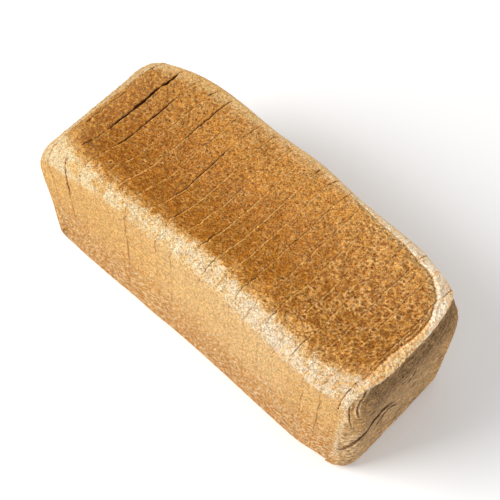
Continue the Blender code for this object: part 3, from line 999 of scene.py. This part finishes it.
FACE_LIGHT = {0: 1.2, CUTS: 0.69}      # light on the two ends
for i, name, x_end, k, direction, radius, count, hollow in (
        (0, "heel_left", X_LEFT, 1, -1.0, END_L[0], 62, 1.2),
        (CUTS, "heel_right", X_RIGHT, CUTS, 1.0, END_R[0], 58, 2.6)):
    xs = end_columns(x_end, cut_x(k), direction, radius, count)   # cut -> end
    if direction < 0:
        xs = xs[::-1]
    folds = []
    if direction > 0:
        y, z = section(xs)
        ring_y, ring_z = y[-1], z[-1]
        on = [np.stack([np.repeat(xs[:, None], ROWS, 1), y, z], -1).reshape(-1, 3)]
        for f in np.linspace(0.99, 0.0, 90):
            on.append(np.stack([np.full(ROWS, x_end), ring_y.mean() + (ring_y - ring_y.mean()) * f,
                                ring_z.mean() + (ring_z - ring_z.mean()) * f], -1))
        on = np.concatenate(on)
        folds = [(laid(f[0], on),) + f[1:] for f in FOLDS]
    pos, col, gr, (xx, y, z, s) = heel_strip(i, xs, (k, 0) if direction > 0 else (0, k),
                                             x_end, direction, folds)
    nc = len(xs)
    c_cut, c_end = (0, nc - 1) if direction > 0 else (nc - 1, 0)
    body, flat = end_face(x_end, direction, y[c_end], z[c_end], hollow, i)
    body_flat = body.copy()
    body_flat[:, 0] = x_end
    face_col, face_h = end_crust(body_flat, i == CUTS, folds)
    keep = smooth(0.0, 3.0, body[:, 2])
    face_pos = placed(body[:, 0] + direction * face_h * (0.15 + 0.85 * keep),
                      body[:, 1], body[:, 2], i)
    verts = [pos.reshape(-1, 3), face_pos]
    cols = [col.reshape(-1, 3), linear(face_col) / FACE_LIGHT[i]]
    grs = [gr.reshape(-1, 2), np.full((len(face_pos), 2), (0.6, 0.3))]
    total = nc * ROWS
    q_all, t_all, qm, tm = [quads(nc, ROWS)], [], [np.zeros((nc - 1) * ROWS)], []
    outer = np.arange(c_end * ROWS, (c_end + 1) * ROWS)
    q, t = cap_faces(outer, FACE[i], total, direction > 0)
    total += len(face_pos)
    q_all.append(q)
    t_all.append(t)
    qm.append(np.zeros(len(q)))
    tm.append(np.zeros(len(t)))
    outer = np.arange(c_cut * ROWS, (c_cut + 1) * ROWS)
    sign = 1.0 if direction > 0 else -1.0
    inner = cap_points(k, sign, xx[c_cut], y[c_cut], z[c_cut], s[c_cut], i)
    q, t = cap_faces(outer, CAP, total, c_cut != 0)
    verts.append(inner)
    cols.append(cap_colour(k, s[c_cut]))
    grs.append(np.full((len(inner), 2), 0.3))
    q_all.append(q)
    t_all.append(t)
    qm.append(np.ones(len(q)))
    tm.append(np.ones(len(t)))
    ob = make_mesh(name + "_crust", np.concatenate(verts), np.concatenate(q_all),
                   np.concatenate(t_all), [crust, crumb], np.concatenate(qm),
                   np.concatenate(tm), np.concatenate(cols), np.concatenate(grs),
                   [np.arange(c_cut * ROWS, (c_cut + 1) * ROWS)])
    finish_piece(name, ob)


# ---- materials --------------------------------------------------------------------
def bread(mat, tint, dark_speck, pale_speck, bump_mm):
    """Matt bread: the mesh's own tint, broken up by fine grain and specks."""
    mat.use_nodes = True
    nt = mat.node_tree
    n, link = nt.nodes, nt.links
    n.clear()
    out = n.new("ShaderNodeOutputMaterial")
    bsdf = n.new("ShaderNodeBsdfPrincipled")
    link.new(bsdf.outputs[0], out.inputs["Surface"])
    bsdf.inputs["Specular IOR Level"].default_value = 0.14
    where = n.new("ShaderNodeTexCoord").outputs["Object"]
    att = n.new("ShaderNodeAttribute")
    att.attribute_name = "tint"
    gr = n.new("ShaderNodeAttribute")
    gr.attribute_name = "grain"
    grain_ = gr.outputs["Fac"]
    fl = n.new("ShaderNodeAttribute")
    fl.attribute_name = "flour"
    flour_ = fl.outputs["Fac"]

    def noise(scale, detail, rough, on=None):
        x = n.new("ShaderNodeTexNoise")
        x.inputs["Scale"].default_value = scale
        x.inputs["Detail"].default_value = detail
        x.inputs["Roughness"].default_value = rough
        link.new(on or where, x.inputs["Vector"])
        return x.outputs["Fac"]

    def math_(op, a, b, clamp=False):
        x = n.new("ShaderNodeMath")
        x.operation = op
        x.use_clamp = clamp
        for slot_, v in zip(x.inputs, (a, b)):
            if isinstance(v, (int, float)):
                slot_.default_value = v
            else:
                link.new(v, slot_)
        return x.outputs[0]

    def map_(v, a, b, c, d):
        x = n.new("ShaderNodeMapRange")
        link.new(v, x.inputs["Value"])
        for key, val in zip(("From Min", "From Max", "To Min", "To Max"), (a, b, c, d)):
            x.inputs[key].default_value = val
        return x.outputs["Result"]

    def specks(scale, inner, outer, rare, share):
        """Irregular dots in a share of the cells of a Voronoi pattern."""
        v = n.new("ShaderNodeTexVoronoi")
        v.inputs["Scale"].default_value = scale
        link.new(where, v.inputs["Vector"])
        sep = n.new("ShaderNodeSeparateColor")
        link.new(v.outputs["Color"], sep.inputs[0])
        shape = map_(v.outputs["Distance"], inner, outer, 1.0, 0.0)
        few = map_(sep.outputs[rare], 1.0 - share, 1.0 - share + 0.06, 0.0, 1.0)
        return math_("MULTIPLY", shape, few)

    def blend(kind, fac, a, b):
        x = n.new("ShaderNodeMix")
        x.data_type = "RGBA"
        x.blend_type = kind
        for key, v in (("Factor", fac), ("A", a), ("B", b)):
            s_ = [q for q in x.inputs if q.name == key and q.enabled][0]
            if isinstance(v, (tuple, float)):
                s_.default_value = v
            else:
                link.new(v, s_)
        return [q for q in x.outputs if q.enabled][0]

    def gamma(v, power):
        x = n.new("ShaderNodeGamma")
        link.new(v, x.inputs["Color"])
        x.inputs["Gamma"].default_value = power
        return x.outputs[0]

    def scaled(v, by):
        x = n.new("ShaderNodeVectorMath")
        x.operation = "SCALE"
        link.new(v, x.inputs[0])
        if isinstance(by, float):
            x.inputs["Scale"].default_value = by
        else:
            link.new(by, x.inputs["Scale"])
        return x.outputs[0]

    g1 = math_("ADD", map_(noise(620.0, 4.0, 0.75), 0.42, 0.58, -0.5, 0.5),
               map_(noise(1300.0, 3.0, 0.7), 0.42, 0.58, -0.8, 0.8))
    k = math_("ADD", 1.0, math_("MULTIPLY", g1, tint))
    base = scaled(att.outputs["Color"], k)
    # dark bran and pale flour, deeper and lighter tones of the crust itself
    dark = math_("ADD", specks(640.0, 0.18, 0.36, 0, 0.36), specks(1000.0, 0.18, 0.42, 1, 0.36), True)
    pale_ = math_("ADD", specks(800.0, 0.14, 0.36, 2, 0.34), specks(1200.0, 0.16, 0.42, 0, 0.32), True)
    # on the lower sides the flour lies in short streaks
    stretch = n.new("ShaderNodeMapping")
    stretch.inputs["Scale"].default_value = (0.5, 0.5, 1.0)
    link.new(where, stretch.inputs["Vector"])
    pos = n.new("ShaderNodeSeparateXYZ")
    link.new(where, pos.inputs[0])
    lower = map_(pos.outputs["Z"], 0.070, 0.030, 0.0, 1.0)
    drawn_ = map_(noise(820.0, 3.0, 0.65, stretch.outputs[0]), 0.51, 0.59, 0.0, 1.0)
    pale_ = math_("ADD", math_("MULTIPLY", pale_, math_("SUBTRACT", 1.0, math_("MULTIPLY", lower, 0.5))),
                  math_("MULTIPLY", drawn_, lower), True)
    dark = math_("MULTIPLY", dark, math_("MULTIPLY", grain_, dark_speck), True)
    pale_ = math_("MULTIPLY", pale_, math_("MULTIPLY", flour_, pale_speck), True)
    deep = blend("MULTIPLY", 1.0, scaled(gamma(base, 1.5), 0.82), (1.04, 0.86, 0.60, 1.0))
    c = blend("MIX", dark, base, deep)
    c = blend("MIX", pale_, c, scaled(gamma(base, 0.42), 0.94))
    link.new(c, bsdf.inputs["Base Color"])
    link.new(map_(noise(420.0, 2.0, 0.5), 0.3, 0.7, 0.58, 0.84), bsdf.inputs["Roughness"])
    hgt = math_("MULTIPLY", noise(1500.0, 4.0, 0.7), math_("ADD", grain_, 0.1))
    hgt = math_("ADD", math_("SUBTRACT", hgt, math_("MULTIPLY", dark, 0.5)),
                math_("MULTIPLY", pale_, 0.5))
    bump = n.new("ShaderNodeBump")
    bump.inputs["Distance"].default_value = bump_mm * MM
    bump.inputs["Strength"].default_value = 0.7
    link.new(hgt, bump.inputs["Height"])
    link.new(bump.outputs[0], bsdf.inputs["Normal"])


bread(crust, 0.42, 1.2, 1.1, 0.6)
bread(crumb, 0.10, 0.8, 0.5, 0.6)

# ---- floor, light, camera -------------------------------------------------------------
floor_me = bpy.data.meshes.new("floor")
e = 6.0
floor_me.from_pydata([(-e, -e, 0), (e, -e, 0), (e, e, 0), (-e, e, 0)], [], [(0, 1, 2, 3)])
floor = bpy.data.objects.new("floor", floor_me)
floor.location.z = -0.0004
bpy.context.scene.collection.objects.link(floor)
pale_floor = bpy.data.materials.new("pale_floor")
pale_floor.use_nodes = True
fb = pale_floor.node_tree.nodes["Principled BSDF"]
fb.inputs["Base Color"].default_value = (0.93, 0.93, 0.93, 1)
fb.inputs["Emission Color"].default_value = (1.0, 1.0, 1.0, 1)
fb.inputs["Emission Strength"].default_value = 0.12       # a lit studio table
fb.inputs["Roughness"].default_value = 0.9
fb.inputs["Specular IOR Level"].default_value = 0.1
floor_me.materials.append(pale_floor)

scene = bpy.context.scene
world = bpy.data.worlds.new("studio")
scene.world = world
world.use_nodes = True
bg = world.node_tree.nodes["Background"]
bg.inputs["Color"].default_value = (1.0, 1.0, 1.0, 1)
bg.inputs["Strength"].default_value = 0.55


def area(name, direction, distance, size, power, tint=(1, 1, 1)):
    li = bpy.data.lights.new(name, "AREA")
    li.shape = "SQUARE"
    li.size = size
    li.energy = power
    li.color = tint
    ob = bpy.data.objects.new(name, li)
    d = Vector(direction).normalized()
    aim = Vector((0, 0, 0.06))
    ob.location = aim + d * distance
    ob.rotation_euler = d.to_track_quat("Z", "Y").to_euler()
    scene.collection.objects.link(ob)
    return ob


area("key", (-0.50, -0.62, 0.62), 1.6, 0.9, 26.0)

# the camera, fitted to the cut lines and the outline
AZ, EL, DIST, FOCAL = 0.652126628, 1.05871152, 824.3, 1337.14517
ROLL, PAN, TILT = -0.110759673, -0.000313664655, -0.00481454189
c0 = Vector((CENTRE_X, CENTRE_Y, 52.9)) * MM
back = Vector((math.sin(AZ) * math.cos(EL), -math.cos(AZ) * math.cos(EL), math.sin(EL)))
right = (-back).cross(Vector((0, 0, 1))).normalized()
up = right.cross(-back)
rows = Matrix((right, up, back))
rows = (Matrix.Rotation(ROLL, 3, "Z") @ Matrix.Rotation(TILT, 3, "X")
        @ Matrix.Rotation(PAN, 3, "Y") @ rows)
cam = bpy.data.cameras.new("camera")
cam.sensor_fit = "HORIZONTAL"
cam.sensor_width = 36.0
cam.lens = FOCAL / 500.0 * 36.0
cam.clip_start, cam.clip_end = 0.05, 30.0
cam_ob = bpy.data.objects.new("camera", cam)
m = rows.transposed().to_4x4()
m.translation = c0 + back * (DIST * MM)
cam_ob.matrix_world = m
scene.collection.objects.link(cam_ob)
scene.camera = cam_ob

scene.view_settings.view_transform = "Standard"
scene.view_settings.look = "None"
scene.view_settings.exposure = 0.0
scene.view_settings.gamma = 1.0

faces = sum(len(o.data.loops) - 2 * len(o.data.polygons) for o in pieces)
print("triangles:", faces, "largest:",
      max(len(o.data.loops) - 2 * len(o.data.polygons) for o in pieces))
